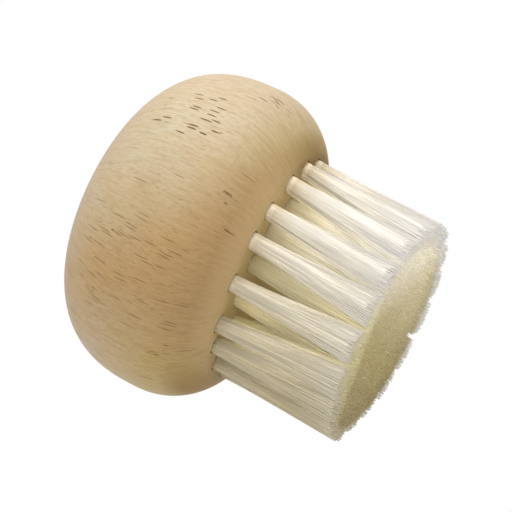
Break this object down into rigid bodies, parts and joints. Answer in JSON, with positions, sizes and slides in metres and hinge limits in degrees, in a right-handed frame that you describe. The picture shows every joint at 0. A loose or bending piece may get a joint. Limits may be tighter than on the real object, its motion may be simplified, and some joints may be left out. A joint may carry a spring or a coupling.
{
  "type": "mushroom brush",
  "caption": "Mushroom-shaped cleaning brush: a domed wooden palm grip whose flat underside is drilled in rings and set with pale nylon tufts trimmed level.",
  "frame": {"origin": "centre of the plane of the trimmed bristle tips, which the brush stands on", "axes": "+Z along the brush's axis, from the tips up through the crown of the handle; +X and +Y square to it"},
  "size_m": [0.057, 0.057, 0.0575],
  "materials": {
    "wood": "turned and sanded pale rubberwood under a thin satin lacquer",
    "bristle": "drawn natural nylon filament, translucent off-white with a soft sheen"
  },
  "bodies": {
    "root": {"handle": "wood", "tuft_centre": "bristle", "tuft_inner_01": "bristle", "tuft_inner_02": "bristle", "tuft_inner_03": "bristle", "tuft_inner_04": "bristle", "tuft_inner_05": "bristle", "tuft_inner_06": "bristle", "tuft_middle_01": "bristle", "tuft_middle_02": "bristle", "tuft_middle_03": "bristle", "tuft_middle_04": "bristle", "tuft_middle_05": "bristle", "tuft_middle_06": "bristle", "tuft_middle_07": "bristle", "tuft_middle_08": "bristle", "tuft_middle_09": "bristle", "tuft_middle_10": "bristle", "tuft_middle_11": "bristle", "tuft_middle_12": "bristle", "tuft_outer_01": "bristle", "tuft_outer_02": "bristle", "tuft_outer_03": "bristle", "tuft_outer_04": "bristle", "tuft_outer_05": "bristle", "tuft_outer_06": "bristle", "tuft_outer_07": "bristle", "tuft_outer_08": "bristle", "tuft_outer_09": "bristle", "tuft_outer_10": "bristle", "tuft_outer_11": "bristle", "tuft_outer_12": "bristle", "tuft_outer_13": "bristle", "tuft_outer_14": "bristle", "tuft_outer_15": "bristle", "tuft_outer_16": "bristle", "tuft_outer_17": "bristle", "tuft_outer_18": "bristle"}
  },
  "joints": []
}
